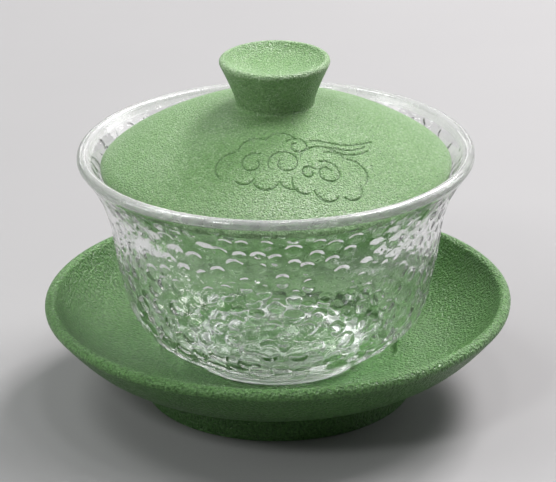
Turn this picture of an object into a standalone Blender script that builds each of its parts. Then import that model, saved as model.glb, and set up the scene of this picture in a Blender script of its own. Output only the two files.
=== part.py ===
"""Gaiwan: a lidded tea bowl of hammered clear glass, with a matte green ceramic lid and saucer.

Metres, +Z up. The saucer's foot rests on z = 0 and every piece is turned about the Z axis.
"""
import math

import bmesh
import bpy

MM = 0.001
SEGMENTS = 64
GAP = 0.3

# Saucer, in millimetres
FOOT_LAND_INNER = 30.9
FOOT_LAND_OUTER = 33.9
FOOT_HEIGHT = 6.5
SAUCER_LIP_R = 57.95
SAUCER_LIP_Z = 24.1
SAUCER_LIP_TUBE = 1.6
WELL_R = 30.3
WELL_EDGE_Z = 12.0
WELL_FLOOR_Z = 9.35
RECESS_Z = 6.2

# Bowl, in millimetres
BOWL_FOOT_Z = WELL_FLOOR_Z + GAP
BOWL_FOOT_OUTER = 22.3
BOWL_FOOT_INNER = 18.8
BOWL_LIP_R = 48.55
BOWL_LIP_Z = 64.0
BOWL_LIP_TUBE = 1.45
BOWL_FLOOR_Z = 13.2

# Lid and knob, in millimetres
LID_R = 44.15
LID_RIM_TUBE = 1.2
LID_RIM_Z = 61.0
DOME_EDGE_Z = 61.4
DOME_TOP_Z = 77.1
DOME_INNER_TOP_Z = 74.0
KNOB_BASE_R = 9.85
KNOB_CREST_R = 12.88
KNOB_CREST_Z = 88.25
KNOB_CREST_TUBE = 0.95
KNOB_DISH_Z = 86.1

# Joint travel, in metres
BOWL_TRAVEL = 0.08
LID_TRAVEL = 0.08


def arc(r, z, radius, start, end, steps):
    """Points of a circular arc, angles in degrees from +R towards +Z."""
    points = []
    for i in range(steps + 1):
        angle = math.radians(start + (end - start) * i / steps)
        points.append((r + radius * math.cos(angle), z + radius * math.sin(angle)))
    return points


def curve(p0, p1, p2, p3, steps):
    """Points of a cubic Bezier curve."""
    points = []
    for i in range(steps + 1):
        t = i / steps
        a = (1 - t) ** 3
        b = 3 * (1 - t) ** 2 * t
        c = 3 * (1 - t) * t ** 2
        d = t ** 3
        points.append(tuple(a * p0[k] + b * p1[k] + c * p2[k] + d * p3[k] for k in (0, 1)))
    return points


def without_repeats(points):
    """Drop the points that double up where two stretches of an outline meet."""
    kept = [points[0]]
    for point in points[1:]:
        if math.dist(point, kept[-1]) > 0.02:
            kept.append(point)
    return kept


def saucer_outline():
    """From the middle of the underside, round the foot and the lip, to the middle of the well."""
    lip = (SAUCER_LIP_R, SAUCER_LIP_Z, SAUCER_LIP_TUBE)
    points = [(0.0, RECESS_Z), (14.0, RECESS_Z)]
    points += curve((27.4, RECESS_Z), (29.2, RECESS_Z), (30.1, 5.4), (30.3, 3.6), 4)
    points += arc(FOOT_LAND_INNER, 0.5, 0.5, 180, 270, 2)
    points += arc(FOOT_LAND_OUTER, 0.5, 0.5, 270, 355, 3)
    points += [(34.95, FOOT_HEIGHT - 0.5), (35.3, FOOT_HEIGHT + 0.3)]
    edge = arc(*lip, -40, 150, 10)
    points += curve((36.2, 7.35), (49.5, 11.7), (52.7, 15.4), edge[0], 10)
    points += edge
    points += curve(edge[-1], (54.4, 21.2), (48.5, 14.2), (38.5, 12.9), 8)
    points += [(WELL_R + 1.3, WELL_EDGE_Z + 0.05)]
    brink = (WELL_R + 0.7, WELL_EDGE_Z - 0.1)
    floor_edge = (WELL_R - 0.9, WELL_FLOOR_Z)
    points += curve(brink, (WELL_R + 0.1, WELL_EDGE_Z - 0.3), (WELL_R, 9.7), floor_edge, 4)
    points += [(15.0, WELL_FLOOR_Z), (0.0, WELL_FLOOR_Z)]
    return without_repeats(points)


def bowl_outline():
    """From the middle of the foot's recess, up the outside, over the lip, to the middle of the floor."""
    points = [(0.0, BOWL_FOOT_Z + 1.2), (9.5, BOWL_FOOT_Z + 1.2)]
    points += [(BOWL_FOOT_INNER - 0.9, BOWL_FOOT_Z + 1.0), (BOWL_FOOT_INNER, BOWL_FOOT_Z + 0.4)]
    points += [(BOWL_FOOT_INNER + 0.7, BOWL_FOOT_Z)]
    points += arc(BOWL_FOOT_OUTER - 0.6, BOWL_FOOT_Z + 0.6, 0.6, 270, 360, 3)
    lip = arc(BOWL_LIP_R, BOWL_LIP_Z, BOWL_LIP_TUBE, -35, 160, 10)
    points += curve((22.55, 11.2), (31.0, 15.9), (37.0, 19.0), (38.9, 28.2), 8)
    points += curve((38.9, 28.2), (39.8, 32.5), (40.9, 37.2), (41.4, 41.5), 3)
    points += curve((41.4, 41.5), (42.2, 48.4), (43.7, 55.4), lip[0], 7)
    points += lip
    points += curve(lip[-1], (46.7, 62.4), (41.7, 59.2), (40.0, 50.0), 8)
    points += curve((40.0, 50.0), (39.5, 43.5), (38.0, 33.5), (36.0, 27.0), 4)
    points += curve((36.0, 27.0), (34.0, 20.5), (28.8, 15.6), (17.0, 13.8), 7)
    points += [(8.5, BOWL_FLOOR_Z), (0.0, BOWL_FLOOR_Z)]
    return without_repeats(points)


def lid_outline():
    """From the middle under the dome, round the rim, up the dome and the knob, to the knob's dish."""
    rim_r = LID_R - LID_RIM_TUBE
    neck_r = KNOB_BASE_R + 0.55
    points = curve((0.0, DOME_INNER_TOP_Z), (19.5, DOME_INNER_TOP_Z), (34.8, 66.0), (rim_r - 1.3, 61.9), 9)
    points += arc(rim_r, LID_RIM_Z, LID_RIM_TUBE, 190, 360, 8)
    points += curve((LID_R, DOME_EDGE_Z), (LID_R, 63.9), (24.4, 75.7), (neck_r, DOME_TOP_Z), 12)
    points += [(KNOB_BASE_R + 0.1, DOME_TOP_Z + 0.25)]
    crest = arc(KNOB_CREST_R, KNOB_CREST_Z, KNOB_CREST_TUBE, -25, 125, 6)
    points += curve((KNOB_BASE_R, DOME_TOP_Z + 0.7), (10.4, 80.8), (12.4, 84.85), crest[0], 6)
    points += crest
    points += curve(crest[-1], (10.4, 87.1), (5.5, KNOB_DISH_Z), (0.0, KNOB_DISH_Z), 5)
    return without_repeats(points)


def revolve(name, outline):
    """Turn an outline whose two ends lie on the Z axis into one closed body."""
    mesh = bpy.data.meshes.new(name)
    body = bmesh.new()
    bottom = body.verts.new((0, 0, outline[0][1] * MM))
    top = body.verts.new((0, 0, outline[-1][1] * MM))
    rings = []
    for r, z in outline[1:-1]:
        ring = []
        for i in range(SEGMENTS):
            angle = 2 * math.pi * i / SEGMENTS
            ring.append(body.verts.new((r * MM * math.cos(angle), r * MM * math.sin(angle), z * MM)))
        rings.append(ring)
    for i in range(SEGMENTS):
        j = (i + 1) % SEGMENTS
        body.faces.new((bottom, rings[0][i], rings[0][j]))
        body.faces.new((top, rings[-1][i], rings[-1][j]))
        for lower, upper in zip(rings, rings[1:]):
            body.faces.new((lower[i], lower[j], upper[j], upper[i]))
    bmesh.ops.recalc_face_normals(body, faces=body.faces)
    body.to_mesh(mesh)
    body.free()
    mesh.shade_smooth()
    mesh.set_sharp_from_angle(angle=math.radians(40))
    turned = bpy.data.objects.new(name, mesh)
    bpy.context.collection.objects.link(turned)
    return turned


def principled(name, colour, roughness):
    """A material with a plain Principled BSDF."""
    material = bpy.data.materials.new(name)
    material.use_nodes = True
    shader = material.node_tree.nodes["Principled BSDF"]
    shader.inputs["Base Color"].default_value = (*colour, 1.0)
    shader.inputs["Roughness"].default_value = roughness
    shader.inputs["Metallic"].default_value = 0.0
    material.diffuse_color = (*colour, 1.0)
    return material


def glass_material():
    """Clear soda glass."""
    material = principled("bowl_glass", (0.92, 0.95, 0.93), 0.03)
    shader = material.node_tree.nodes["Principled BSDF"]
    shader.inputs["Transmission Weight"].default_value = 1.0
    shader.inputs["IOR"].default_value = 1.5
    return material


def lift_axis(name):
    """An empty on the joint axis that a lifting piece hangs from."""
    axis = bpy.data.objects.new(name, None)
    axis.empty_display_size = 0.02
    bpy.context.collection.objects.link(axis)
    return axis


def build():
    for old in list(bpy.data.objects):
        bpy.data.objects.remove(old)
    saucer = revolve("saucer", saucer_outline())
    bowl = revolve("bowl", bowl_outline())
    lid = revolve("lid", lid_outline())
    saucer.data.materials.append(principled("saucer_ceramic", (0.13, 0.30, 0.10), 0.55))
    bowl.data.materials.append(glass_material())
    lid.data.materials.append(principled("lid_ceramic", (0.15, 0.33, 0.12), 0.55))
    bowl_axis = lift_axis("bowl_lift_axis")
    lid_axis = lift_axis("lid_lift_axis")
    bowl_axis["travel_m"] = BOWL_TRAVEL
    lid_axis["travel_m"] = LID_TRAVEL
    bowl_axis.parent = saucer
    bowl.parent = bowl_axis
    lid_axis.parent = bowl
    lid.parent = lid_axis


build()
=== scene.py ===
import math

import bpy
import numpy as np
from mathutils import Matrix, Vector, noise
from mathutils.kdtree import KDTree


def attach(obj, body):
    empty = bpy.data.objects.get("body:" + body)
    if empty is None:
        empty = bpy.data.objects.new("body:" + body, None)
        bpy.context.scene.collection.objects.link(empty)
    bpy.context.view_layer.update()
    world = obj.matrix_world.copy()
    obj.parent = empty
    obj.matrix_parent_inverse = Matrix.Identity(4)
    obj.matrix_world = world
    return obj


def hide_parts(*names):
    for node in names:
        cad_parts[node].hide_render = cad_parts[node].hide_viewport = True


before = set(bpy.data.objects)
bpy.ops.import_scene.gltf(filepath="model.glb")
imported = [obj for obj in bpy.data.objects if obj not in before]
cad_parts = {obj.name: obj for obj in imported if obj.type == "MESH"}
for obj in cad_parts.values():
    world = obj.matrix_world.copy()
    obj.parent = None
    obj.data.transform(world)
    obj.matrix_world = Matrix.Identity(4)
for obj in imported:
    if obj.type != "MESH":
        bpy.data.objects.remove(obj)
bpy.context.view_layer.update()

MM = 0.001
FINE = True

# Heights above the table and reaches out from the upright axis, in millimetres.
# A lip or crest is the reach, height and radius of its rounding.
SAUCER_LIP = (57.95, 24.1, 1.6)
BOWL_FOOT = 9.65
BOWL_BASE = BOWL_FOOT + 1.2
BOWL_LIP = (48.55, 64.0, 1.45)
BOWL_WALL_TOP = (49.7, 63.2)
BOWL_LIP_BOTTOM = 63.1
BOWL_FOOT_TOP = 11.4
BOWL_FOOT_INNER = 18.0
DOME_TOP = 77.1
DECORATION_INNER = 12.4
DECORATION_OUTER = 40.4
KNOB_CREST = (12.88, 88.25, 0.95)

# Sizes of the relief, in millimetres.
USUAL_GAP = 3.9
RIDGE_SOFTNESS = 0.012
GROOVE_DEPTH = 0.40
GROOVE_HALF_WIDTH = 0.21


# ---------------------------------------------------------------- lines

def arc(centre_r, centre_z, radius, start, end, steps):
    """Points of a circular arc, angles in degrees from +R towards +Z."""
    turn = np.radians(np.linspace(start, end, steps + 1))
    r, z = centre_r + radius * np.cos(turn), centre_z + radius * np.sin(turn)
    return [tuple(p) for p in np.stack([r, z], -1)]


def curve(p0, p1, p2, p3, steps):
    """Points of a cubic Bezier curve."""
    t = np.linspace(0, 1, steps + 1)[:, None]
    p = (1 - t) ** 3 * np.array(p0) + 3 * (1 - t) ** 2 * t * np.array(p1)
    p = p + 3 * (1 - t) * t ** 2 * np.array(p2) + t ** 3 * np.array(p3)
    return [tuple(q) for q in p]


def even(points, spacing):
    """The same line with points an even distance apart."""
    points = np.array(points)
    along = np.concatenate([[0], np.cumsum(np.linalg.norm(np.diff(points, axis=0), axis=1))])
    count = max(2, round(along[-1] / spacing) + 1)
    at = np.linspace(0, along[-1], count)
    return [tuple(p) for p in np.stack([np.interp(at, along, points[:, k]) for k in (0, 1)], -1)]


def without_repeats(points):
    kept = [points[0]]
    for point in points[1:]:
        if math.dist(point, kept[-1]) > 0.02:
            kept.append(point)
    return kept


def ramp(value, start, end):
    """0 at start, 1 at end, eased."""
    t = np.clip((value - start) / (end - start), 0, 1)
    return t * t * (3 - 2 * t)


def spaced(count):
    """Even angles round a full turn."""
    return np.linspace(0, 2 * math.pi, count, endpoint=False)


# ---------------------------------------------------------------- outlines, from below to above

def saucer_outline(step):
    points = [(0.0, 6.2), (8.0, 6.2), (16.0, 6.2), (23.0, 6.2)]
    points += curve((27.4, 6.2), (29.2, 6.2), (30.1, 5.4), (30.3, 3.6), 8)
    points += [(30.36, 2.2)]
    points += arc(30.9, 0.5, 0.5, 180, 270, 5)
    points += arc(33.9, 0.5, 0.5, 270, 355, 6)
    points += even([(34.4, 0.46), (34.95, 6.0)], step)
    points += curve((34.95, 6.0), (35.0, 6.7), (35.3, 7.1), (36.2, 7.35), 5)
    lip = arc(*SAUCER_LIP, -40, 150, 26)
    points += even(curve((36.2, 7.35), (49.5, 11.7), (52.7, 15.4), lip[0], 60), step)
    points += lip
    points += even(curve(lip[-1], (54.4, 21.2), (48.5, 14.2), (38.5, 12.9), 60), step)
    points += even([(38.5, 12.9), (31.9, 12.1)], step)
    points += curve((31.6, 12.05), (30.6, 11.95), (30.4, 11.4), (30.3, 10.7), 6)
    points += curve((30.3, 10.5), (30.2, 9.7), (30.0, 9.4), (29.0, 9.35), 5)
    points += [(25.0, 9.35), (20.0, 9.35), (14.0, 9.35), (7.0, 9.35), (0.0, 9.35)]
    return without_repeats(points)


def bowl_wall(top):
    """The outside of the bowl from its foot to top."""
    wall = curve((22.35, 10.9), (31.0, 15.9), (37.0, 19.0), (38.9, 28.2), 60)
    wall += curve((38.9, 28.2), (39.8, 32.5), (40.9, 37.2), (41.4, 41.5), 30)[1:]
    wall += curve((41.4, 41.5), (42.2, 48.4), (43.7, 55.4), top, 60)[1:]
    return wall


def bowl_outline(step):
    lip = arc(*BOWL_LIP, -35, 160, 22)
    points = [(0.0, BOWL_BASE)]
    points += even([(step, BOWL_BASE), (16.9, BOWL_BASE)], 1.8 * step)
    points += curve((17.3, BOWL_BASE), (18.4, BOWL_FOOT + 1.1), (18.6, BOWL_FOOT + 0.1), (19.5, BOWL_FOOT), 6)
    points += [(20.6, BOWL_FOOT)]
    points += arc(21.7, BOWL_FOOT + 0.6, 0.6, 270, 360, 6)
    points += even(bowl_wall(lip[0]), step)
    points += lip
    inner = curve(lip[-1], (46.7, 62.4), (41.7, 59.2), (40.0, 50.0), 40)
    inner += curve((40.0, 50.0), (39.5, 43.5), (38.0, 33.5), (36.0, 27.0), 30)[1:]
    inner += curve((36.0, 27.0), (34.0, 20.5), (28.8, 15.6), (17.0, 13.8), 30)[1:]
    points += even(inner, 2.2 * step)
    points += [(12.0, 13.35), (6.0, 13.2), (0.0, 13.2)]
    return without_repeats(points)


def lid_outline(step, grooved):
    """grooved is the step over the stretch of the dome that carries the decoration."""
    points = even(curve((0.0, 74.0), (19.5, 74.0), (34.8, 66.0), (41.65, 61.9), 60), step)
    points += arc(42.95, 61.0, 1.2, 190, 360, 18)
    dome = np.array(curve((44.15, 61.4), (44.15, 63.9), (24.4, 75.7), (10.4, DOME_TOP), 400))
    first, last = (int(np.argmin(np.abs(dome[:, 0] - r))) for r in (DECORATION_OUTER, DECORATION_INNER))
    points += even(dome[:first + 1], 0.6 * step)
    points += even(dome[first:last + 1], grooved)
    points += even(dome[last:], step)
    points += curve((10.4, DOME_TOP), (10.05, 77.14), (9.85, 77.35), (9.86, 77.9), 6)
    crest = arc(*KNOB_CREST, -25, 125, 14)
    points += even(curve((9.86, 77.9), (10.4, 80.8), (12.4, 84.85), crest[0], 30), step)
    points += crest
    points += even(curve(crest[-1], (10.4, 87.1), (5.5, 86.1), (0.6, 86.1), 30), step)
    points += [(0.0, 86.1)]
    return without_repeats(points)


def lid_angles():
    """Close together over the decoration, wide apart round the rest."""
    first, last = math.radians(207), math.radians(332)
    close = np.linspace(first, last, 340 if FINE else 180)
    rest = np.linspace(last, first + 2 * math.pi, 118)[1:-1]
    return np.concatenate([close, rest])


# ---------------------------------------------------------------- turned bodies

def outward(outline):
    """Unit normals along an outline, pointing out of the body."""
    tangent = np.gradient(outline, axis=0)
    tangent /= np.linalg.norm(tangent, axis=1)[:, None]
    return np.stack([tangent[:, 1], -tangent[:, 0]], -1)


def roundness(outline):
    """1 on tightly rounded outer edges, 0 on flat or hollow stretches."""
    step = np.gradient(outline, axis=0)
    turn = step[:, 0] * np.gradient(step[:, 1]) - step[:, 1] * np.gradient(step[:, 0])
    return ramp(turn / np.maximum(np.linalg.norm(step, axis=1), 1e-6) ** 3, 0.12, 0.7)


def swept(line, angles):
    """Each (r, z) of a line at every angle about Z, as rows of rings."""
    cos, sin = np.cos(angles)[None, :], np.sin(angles)[None, :]
    return np.stack([line[:, :1] * cos, line[:, :1] * sin, line[:, 1:] + 0 * cos], -1)


def ring_faces(rows, columns):
    """Quads between neighbouring rings, and a fan round each of the two last vertices to close the ends."""
    bottom, top = rows * columns, rows * columns + 1
    here = np.arange(columns)
    after = (here + 1) % columns
    low = (np.arange(rows - 1) * columns)[:, None]
    quads = np.stack([low + here, low + after, low + columns + after, low + columns + here], -1)
    last = (rows - 1) * columns
    faces = [(bottom, int(b), int(a)) for a, b in zip(here, after)]
    faces += quads.reshape(-1, 4).tolist()
    faces += [(last + int(a), last + int(b), top) for a, b in zip(here, after)]
    return faces


def turned(name, outline, angles, relief):
    """One closed body turned about Z. relief gives each point's move along its normal, and its mark."""
    outline = np.array(outline)
    ring = outline[1:-1]
    places = swept(ring, angles)
    moved, marks = relief(places, ring)
    places = places + swept(outward(outline)[1:-1], angles) * moved[..., None]
    rows, columns = places.shape[:2]
    vertices = np.concatenate([places.reshape(-1, 3), [(0, 0, outline[0][1]), (0, 0, outline[-1][1])]])
    mesh = bpy.data.meshes.new(name)
    mesh.from_pydata((vertices * MM).tolist(), [], ring_faces(rows, columns))
    mesh.shade_smooth()
    edges = np.repeat(roundness(outline)[1:-1], columns)
    for key, values in (("edge", edges), ("mark", marks.ravel())):
        layer = mesh.attributes.new(key, "FLOAT", "POINT")
        layer.data.foreach_set("value", np.concatenate([values, [0, 0]]))
    mesh.update()
    piece = bpy.data.objects.new(name, mesh)
    bpy.context.collection.objects.link(piece)
    return piece


# ---------------------------------------------------------------- the relief of each body

def wander(places, size, seed):
    """Slow unevenness, from -1 to 1, in lumps about size across."""
    flat = places.reshape(-1, 3) / size + seed
    values = np.array([noise.noise(Vector(p)) for p in flat])
    return values.reshape(places.shape[:2])


def seeds_on(outline, spacing, generator):
    """Points scattered over a turned surface, with spacing giving the least gap at each height."""
    line = np.array(even(outline, 0.2))
    share = np.cumsum(line[:, 0])
    along = np.interp(generator.uniform(0, share[-1], 9000), share, np.arange(len(line)))
    r, z = (np.interp(along, np.arange(len(line)), line[:, k]) for k in (0, 1))
    turn = generator.uniform(0, 2 * math.pi, len(r))
    tries = np.stack([r * np.cos(turn), r * np.sin(turn), z], -1)
    found, gaps = tries[:1], spacing(tries[:, 2])
    for place, gap in zip(tries[1:], gaps[1:]):
        if np.min(np.sum((found - place) ** 2, axis=1)) > gap * gap:
            found = np.concatenate([found, place[None]])
    return found


def hammer_marks(places, seeds, depth, size, steepness, lean, generator):
    """Depth of the flat-bottomed, leaning, uneven hollows that hammering leaves, with ridges between."""
    tree = KDTree(len(seeds))
    for i, seed in enumerate(seeds):
        tree.insert(seed, i)
    tree.balance()
    tilt = generator.normal(0, lean, (len(seeds), 3))
    flat = places.reshape(-1, 3)
    marks = np.empty(len(flat))
    for i, place in enumerate(flat):
        total = 1.0
        for seed, index, distance in tree.find_n(place, 5):
            wall = steepness * (distance / size[index]) ** 6
            hollow = depth[index] + tilt[index] @ (place - seed) - wall
            total += math.exp(hollow / RIDGE_SOFTNESS)
        marks[i] = RIDGE_SOFTNESS * math.log(total)
    return marks.reshape(places.shape[:2])


def wall_gap(z):
    """The least gap between two hollows in the wall, wider low down."""
    return np.interp(z, (20, 34), (4.8, 3.8))


def base_gap(z):
    return np.full(len(z), 4.2)


def wall_hollows(places, generator):
    seeds = seeds_on(bowl_wall(BOWL_WALL_TOP), wall_gap, generator)
    z = seeds[:, 2]
    depth = generator.uniform(0.20, 0.48, len(seeds)) * np.interp(z, (34, 44), (1, 0.72))
    size = generator.uniform(0.86, 1.16, len(seeds)) * wall_gap(z) / USUAL_GAP
    return hammer_marks(places, seeds, depth, size, 0.0038, 0.07, generator)


def base_hollows(places, generator):
    seeds = seeds_on([(0.01, BOWL_BASE), (17.0, BOWL_BASE)], base_gap, generator)
    depth = generator.uniform(0.2, 0.3, len(seeds))
    size = generator.uniform(0.86, 1.16, len(seeds))
    return hammer_marks(places, seeds, depth, size, 0.0016, 0.03, generator)


def bowl_relief(places, ring):
    """Hollows in the wall and under the base, a slight ripple inside, and a plain lip, foot and floor."""
    generator = np.random.default_rng(11)
    reach, height = ring[:, 0], ring[:, 1]
    outside = np.arange(len(ring)) < np.argmax(reach)
    moved = np.zeros(places.shape[:2])
    wall = outside & (reach > 22.4)
    fade = ramp(height[wall], 11.0, 12.4) * (1 - ramp(height[wall], 60.4, 62.6))
    moved[wall] = -wall_hollows(places[wall], generator) * fade[:, None]
    under = outside & (reach < 17.0)
    fade = 1 - ramp(reach[under], 14.5, 16.5)
    moved[under] = -base_hollows(places[under], generator) * fade[:, None]
    inside = ~outside & (height < 60.0)
    fade = ramp(height[inside], 13.4, 16.0) * (1 - ramp(height[inside], 52.0, 57.0))
    ripple = 0.05 * wander(places[inside], 5.0, 2.3) + 0.02 * wander(places[inside], 2.9, 5.9)
    moved[inside] = ripple * fade[:, None]
    return moved, np.zeros_like(moved)


def saucer_relief(places, ring):
    """The slow unevenness of turned clay, none on the faces that touch the table."""
    moved = ramp(ring[:, 1], 0.6, 2.5)[:, None] * 0.06 * wander(places, 16.0, 3.1)
    return moved, np.zeros_like(moved)


def bend(cx, cy, radius, start, end):
    turn = np.radians(np.linspace(start, end, 28))
    return np.stack([cx + radius * np.cos(turn), cy + radius * np.sin(turn)], -1)


def scroll(cx, cy, outer, inner, start, sweep):
    turn = np.radians(np.linspace(start, start + sweep, 60))
    radius = np.linspace(outer, inner, 60)
    return np.stack([cx + radius * np.cos(turn), cy + radius * np.sin(turn)], -1)


def cloud_lines():
    """A plain scroll cloud with a trailing wind, seen from above, in millimetres."""
    lines = [
        bend(-10.2, -27.6, 4.5, 85, 225),
        bend(-4.9, -23.2, 4.2, 62, 178),
        bend(1.2, -21.2, 3.9, 28, 160),
        scroll(5.2, -22.0, 3.0, 1.1, 150, -400),
        scroll(-5.6, -27.4, 3.4, 1.3, 60, 330),
        scroll(2.2, -27.6, 4.3, 1.5, 200, -420),
        bend(-7.6, -30.8, 2.6, 215, 330),
        bend(-2.4, -32.2, 3.2, 200, 330),
        bend(3.9, -32.0, 3.3, 205, 290),
        bend(11.6, -27.2, 6.0, 35, 165),
        bend(18.0, -28.0, 4.2, -30, 100),
        bend(17.6, -32.6, 3.2, -110, 28),
        bend(12.2, -34.4, 3.1, -165, -28),
        bend(6.9, -33.2, 3.1, 165, 285),
        scroll(12.4, -29.4, 3.6, 1.2, 120, -440),
        scroll(7.9, -30.2, 2.0, 0.9, 40, 330),
    ]
    for line in (((8.3, -19.6), (13.0, -18.4), (16.5, -21.6), (23.4, -14.6)),
                 ((9.6, -21.6), (14.0, -20.2), (17.8, -22.6), (21.8, -17.4)),
                 ((11.6, -23.0), (15.0, -21.9), (18.8, -23.6), (22.4, -18.8))):
        lines.append(np.array(curve(*line, 40)))
    return lines


def line_distance(points, lines):
    """How far each point lies from the nearest line, or far for the points that no line comes near."""
    near, far = 1.5, 9.0
    nearest = np.full(len(points), far)
    for line in lines:
        reach = np.all((points > line.min(axis=0) - near) & (points < line.max(axis=0) + near), axis=1)
        close = points[reach]
        best = nearest[reach]
        for a, b in zip(line, line[1:]):
            step = b - a
            t = np.clip((close - a) @ step / max(step @ step, 1e-9), 0, 1)
            best = np.minimum(best, np.linalg.norm(close - a - t[:, None] * step, axis=1))
        nearest[reach] = best
    return nearest


def lid_relief(places, ring):
    """The slow unevenness of turned clay, and the grooves of the line decoration on the dome."""
    reach, height = ring[:, 0], ring[:, 1]
    above = np.arange(len(ring)) >= np.argmax(reach)
    dome = above & (reach > DECORATION_INNER) & (reach < DECORATION_OUTER + 0.2) & (height < DOME_TOP - 0.2)
    seen_from_above = places[dome].reshape(-1, 3)[:, :2]
    apart = line_distance(seen_from_above, cloud_lines()).reshape(-1, places.shape[1])
    marks = np.zeros(places.shape[:2])
    marks[dome] = np.exp(-((apart / GROOVE_HALF_WIDTH) ** 2))
    return 0.05 * wander(places, 14.0, 7.7) - GROOVE_DEPTH * marks, marks


# ---------------------------------------------------------------- materials

class Tree:
    """A short way to write a material's nodes. Scales are in features per metre."""

    def __init__(self, name):
        self.material = bpy.data.materials.new(name)
        self.material.use_nodes = True
        self.nodes = self.material.node_tree.nodes
        self.links = self.material.node_tree.links
        self.shader = self.nodes["Principled BSDF"]
        self.output = self.nodes["Material Output"]
        self.coordinates = self.nodes.new("ShaderNodeTexCoord").outputs["Object"]

    def join(self, source, target):
        self.links.new(source, target)

    def noise(self, scale, detail=3.0, roughness=0.55):
        node = self.nodes.new("ShaderNodeTexNoise")
        node.inputs["Scale"].default_value = scale
        node.inputs["Detail"].default_value = detail
        node.inputs["Roughness"].default_value = roughness
        self.join(self.coordinates, node.inputs["Vector"])
        return node.outputs["Fac"]

    def cells(self, scale):
        node = self.nodes.new("ShaderNodeTexVoronoi")
        node.inputs["Scale"].default_value = scale
        self.join(self.coordinates, node.inputs["Vector"])
        return node

    def chance(self, scale):
        """A different value from 0 to 1 in each small cell."""
        part = self.nodes.new("ShaderNodeSeparateColor")
        self.join(self.cells(scale).outputs["Color"], part.inputs["Color"])
        return part.outputs["Red"]

    def attribute(self, name):
        node = self.nodes.new("ShaderNodeAttribute")
        node.attribute_name = name
        return node.outputs["Fac"]

    def spread(self, source, low, high, to_low=0.0, to_high=1.0):
        """Eased change from to_low to to_high as source goes from low to high."""
        node = self.nodes.new("ShaderNodeMapRange")
        node.interpolation_type = "SMOOTHSTEP"
        node.inputs["From Min"].default_value = low
        node.inputs["From Max"].default_value = high
        node.inputs["To Min"].default_value = to_low
        node.inputs["To Max"].default_value = to_high
        self.join(source, node.inputs["Value"])
        return node.outputs["Result"]

    def product(self, a, b):
        node = self.nodes.new("ShaderNodeMath")
        node.operation = "MULTIPLY"
        self.join(a, node.inputs[0])
        self.join(b, node.inputs[1])
        return node.outputs[0]

    def add(self, a, b, factor):
        """a plus factor times b."""
        node = self.nodes.new("ShaderNodeMath")
        node.operation = "MULTIPLY_ADD"
        self.join(b, node.inputs[0])
        node.inputs[1].default_value = factor
        self.join(a, node.inputs[2])
        return node.outputs[0]

    def blend(self, factor, a, b):
        node = self.nodes.new("ShaderNodeMix")
        node.data_type = "RGBA"
        self.join(factor, node.inputs["Factor"])
        for value, socket in ((a, node.inputs["A"]), (b, node.inputs["B"])):
            if isinstance(value, tuple):
                socket.default_value = (*value, 1.0)
            else:
                self.join(value, socket)
        return node.outputs["Result"]

    def bump(self, height, distance, strength):
        node = self.nodes.new("ShaderNodeBump")
        node.inputs["Distance"].default_value = distance
        node.inputs["Strength"].default_value = strength
        self.join(height, node.inputs["Height"])
        self.join(node.outputs["Normal"], self.shader.inputs["Normal"])


def glaze(name, base, light, dark, speck_and_glint, fineness, relief, shine):
    """Matte green glaze over sandy clay: fine specks, the pale ones whitened as painted glints, dark pits,
    and pale rounded edges that are partly wear of the glaze and partly a painted highlight.
    """
    tree = Tree(name)
    grain = tree.noise(fineness, 2.0, 0.5)
    sand = tree.chance(2900)
    patches = tree.noise(60, 4.0)
    pits = tree.spread(tree.cells(600).outputs["Distance"], 0.13, 0.06, 0.0, 0.8)
    colour = tree.blend(tree.spread(patches, 0.35, 0.68), base, light)
    colour = tree.blend(tree.spread(grain, 0.54, 0.34, 0.0, 0.68), colour, dark)
    colour = tree.blend(tree.spread(sand, 0.25, 0.0, 0.0, 0.5), colour, dark)
    # Pale sandy specks, whitened as painted glints of the lamps on the grain.
    colour = tree.blend(tree.spread(sand, 0.72, 0.95, 0.0, 0.42), colour, speck_and_glint)
    colour = tree.blend(pits, colour, tuple(0.4 * c for c in dark))
    # Pale rounded edges: partly wear of the glaze, partly a painted highlight along the knob crest and the
    # saucer lip.
    pale_edge_and_highlight = tree.spread(tree.product(tree.attribute("edge"), grain), 0.25, 0.80, 0.0, 0.5)
    colour = tree.blend(pale_edge_and_highlight, colour, tuple(1.15 * c for c in speck_and_glint))
    cut = tree.spread(tree.attribute("mark"), 0.3, 0.9, 0.0, 0.75)
    colour = tree.blend(cut, colour, dark)
    tree.join(colour, tree.shader.inputs["Base Color"])
    tree.join(tree.spread(sand, 0.0, 1.0, 0.43, 0.28), tree.shader.inputs["Roughness"])
    height = tree.add(grain, sand, 0.15)
    tree.bump(tree.add(height, pits, -0.4), relief, 1.0)
    tree.shader.inputs["Specular IOR Level"].default_value = shine
    return tree.material


# Painted shade: the lid's green glaze made darker, for the shade that falls on the saucer under the bowl and
# lid and on its front.
def saucer_glaze_painted_shade():
    return glaze("green_glaze_saucer_painted_shade", base=(0.052, 0.160, 0.028), light=(0.066, 0.188, 0.038),
                 dark=(0.018, 0.07, 0.009), speck_and_glint=(0.16, 0.32, 0.11),
                 fineness=1450, relief=0.0010, shine=0.5)


def lid_glaze():
    return glaze("green_glaze_lid", base=(0.140, 0.318, 0.086), light=(0.172, 0.348, 0.114),
                 dark=(0.045, 0.15, 0.025), speck_and_glint=(0.42, 0.55, 0.36),
                 fineness=2500, relief=0.00078, shine=0.9)


def clear_to_shadows(tree):
    """Lets lamps shine straight through the glass instead of casting a black shadow."""
    clear = tree.nodes.new("ShaderNodeBsdfTransparent")
    clear.inputs["Color"].default_value = (0.88, 0.90, 0.89, 1)
    path = tree.nodes.new("ShaderNodeLightPath")
    mix = tree.nodes.new("ShaderNodeMixShader")
    tree.join(path.outputs["Is Shadow Ray"], mix.inputs["Fac"])
    tree.join(tree.shader.outputs["BSDF"], mix.inputs[1])
    tree.join(clear.outputs["BSDF"], mix.inputs[2])
    tree.join(mix.outputs["Shader"], tree.output.inputs["Surface"])


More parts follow.
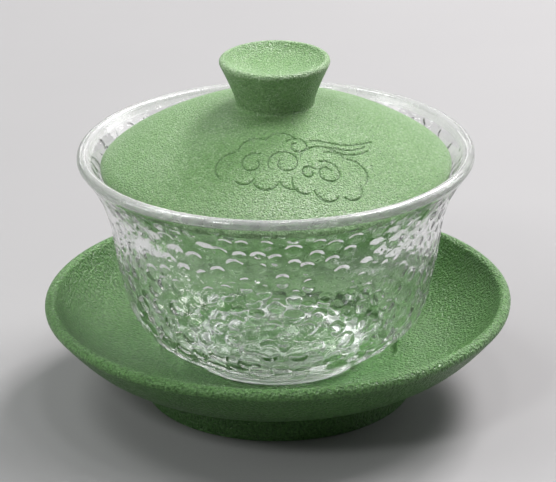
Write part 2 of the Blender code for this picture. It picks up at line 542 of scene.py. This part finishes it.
def hammered_glass():
    """Clear pressed glass with faint ripples and a very light grey-green cast."""
    tree = Tree("clear_hammered_glass")
    tree.shader.inputs["Transmission Weight"].default_value = 1.0
    tree.shader.inputs["IOR"].default_value = 1.5
    cast = tree.spread(tree.noise(60, 2.0), 0.3, 0.7)
    tree.join(tree.blend(cast, (0.965, 0.985, 0.972), (0.99, 1.0, 0.992)), tree.shader.inputs["Base Color"])
    haze = tree.spread(tree.noise(350, 2.0), 0.4, 0.8, 0.0, 0.035)
    tree.join(tree.add(haze, tree.attribute("edge"), 0.12), tree.shader.inputs["Roughness"])
    tree.bump(tree.noise(420, 2.0), 0.0002, 0.12)
    clear_to_shadows(tree)
    return tree.material


def frosted_glass_painted_glow():
    """The bowl's lip and foot ring, ground and polished, their soft white partly a painted glow: the back
    light shining through the foot ring and the softboxes reflected in the lip.
    """
    tree = Tree("ground_glass_rim")
    tree.shader.inputs["Transmission Weight"].default_value = 0.73
    tree.shader.inputs["IOR"].default_value = 1.5
    # Whites mixed into the glass: a painted glow of light through and reflected off the lip and foot ring,
    # over a light frost.
    frost_and_glow = tree.spread(tree.noise(240, 3.0), 0.3, 0.7)
    tree.join(tree.blend(frost_and_glow, (0.84, 0.86, 0.85), (0.95, 0.96, 0.95)), tree.shader.inputs["Base Color"])
    tree.join(tree.spread(tree.noise(300, 2.0), 0.3, 0.7, 0.10, 0.24), tree.shader.inputs["Roughness"])
    tree.bump(tree.noise(600, 2.0), 0.0002, 0.2)
    return tree.material


def pale_floor():
    tree = Tree("pale_floor")
    colour = tree.blend(tree.noise(9, 3.0), (0.25, 0.254, 0.252), (0.27, 0.274, 0.271))
    tree.join(colour, tree.shader.inputs["Base Color"])
    tree.shader.inputs["Roughness"].default_value = 0.75
    return tree.material


# ---------------------------------------------------------------- the object

def build_saucer():
    piece = turned("saucer_glazed", saucer_outline(0.9), spaced(300), saucer_relief)
    piece.data.materials.append(saucer_glaze_painted_shade())
    return piece


def build_bowl():
    """The lip and the foot ring are ground and carry the painted white glow, the rest is clear."""
    step, columns = (0.34, 680) if FINE else (0.7, 340)
    piece = turned("bowl_hammered", bowl_outline(step), spaced(columns), bowl_relief)
    piece.data.materials.append(hammered_glass())
    piece.data.materials.append(frosted_glass_painted_glow())
    for face in piece.data.polygons:
        height = face.center.z / MM
        reach = math.hypot(face.center.x, face.center.y) / MM
        on_lip = height > BOWL_LIP_BOTTOM
        on_foot = height < BOWL_FOOT_TOP and reach > BOWL_FOOT_INNER
        face.material_index = int(on_lip or on_foot)
    return piece


def build_lid():
    piece = turned("lid_glazed", lid_outline(0.7, 0.16 if FINE else 0.3), lid_angles(), lid_relief)
    piece.data.materials.append(lid_glaze())
    return piece


def build_object():
    for piece, body, slot in ((build_saucer(), "saucer", "saucer_ceramic"),
                              (build_bowl(), "bowl", "bowl_glass"),
                              (build_lid(), "lid", "lid_ceramic")):
        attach(piece, body)
        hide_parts(body)


# ---------------------------------------------------------------- studio, in metres

def area_light(name, place, width, height, power, colour=(1, 1, 1)):
    """A lamp that faces the object's middle and isn't seen directly."""
    light = bpy.data.lights.new(name, "AREA")
    light.shape = "RECTANGLE"
    light.size = width
    light.size_y = height
    light.energy = power
    light.color = colour
    lamp = bpy.data.objects.new(name, light)
    lamp.location = place
    lamp.visible_camera = False
    middle = Vector((0, 0, 0.04))
    lamp.rotation_euler = (middle - Vector(place)).to_track_quat("-Z", "Y").to_euler()
    bpy.context.collection.objects.link(lamp)


def build_floor():
    bpy.ops.mesh.primitive_plane_add(size=6, location=(0, 0, 0))
    floor = bpy.context.object
    floor.name = "floor"
    floor.data.materials.append(pale_floor())


def build_lights():
    """Two softboxes overhead, one behind, a small key in front, and weak cards that the glass picks up."""
    world = bpy.data.worlds.new("studio")
    world.use_nodes = True
    world.node_tree.nodes["Background"].inputs["Color"].default_value = (0.86, 0.87, 0.88, 1)
    world.node_tree.nodes["Background"].inputs["Strength"].default_value = 0.14
    bpy.context.scene.world = world
    area_light("softbox_right", (0.564, 0.205, 1.079), 0.40, 0.40, 8.8, (1.0, 0.96, 0.98))
    area_light("softbox_left", (-0.564, 0.205, 1.079), 0.40, 0.40, 4.6)
    area_light("softbox_above", (0.06, 0.10, 1.25), 0.22, 0.22, 2.0)
    area_light("softbox_back_right", (0.47, 0.76, 0.84), 0.36, 0.36, 17, (1.0, 0.94, 0.97))
    area_light("strip_back", (-0.15, 1.2, 0.40), 1.2, 0.12, 1.5)
    area_light("softbox_front_left", (-0.50, -0.70, 0.80), 0.18, 0.18, 3.9)
    area_light("card_left", (-1.05, -0.15, 0.50), 0.5, 0.66, 3.6)
    area_light("card_right", (1.0, 0.50, 0.50), 0.55, 0.66, 3.8)


def build_camera():
    """Looks down at the front from 23 degrees, with a long lens and a slight roll."""
    rise, roll = math.radians(22.79), math.radians(0.75)
    target, distance = Vector((0.00025, 0, 0.0398)), 0.7802
    forward = Vector((0, math.cos(rise), -math.sin(rise)))
    right = Vector((1, 0, 0))
    up = Vector((0, math.sin(rise), math.cos(rise)))
    across = math.cos(roll) * right - math.sin(roll) * up
    upward = math.sin(roll) * right + math.cos(roll) * up
    turn = Matrix((across, upward, -forward)).transposed().to_4x4()
    data = bpy.data.cameras.new("camera")
    data.lens = 198.7
    data.sensor_width = 36
    data.clip_start = 0.02
    camera = bpy.data.objects.new("camera", data)
    camera.matrix_world = Matrix.Translation(target - distance * forward) @ turn
    bpy.context.collection.objects.link(camera)
    bpy.context.scene.camera = camera


def set_light_paths():
    """Enough bounces for light to pass through both of the bowl's walls several times."""
    scene = bpy.context.scene
    scene.view_settings.view_transform = "Standard"
    scene.cycles.max_bounces = 40
    scene.cycles.transmission_bounces = 40
    scene.cycles.glossy_bounces = 12


build_object()
build_floor()
build_lights()
build_camera()
set_light_paths()
bpy.context.view_layer.update()
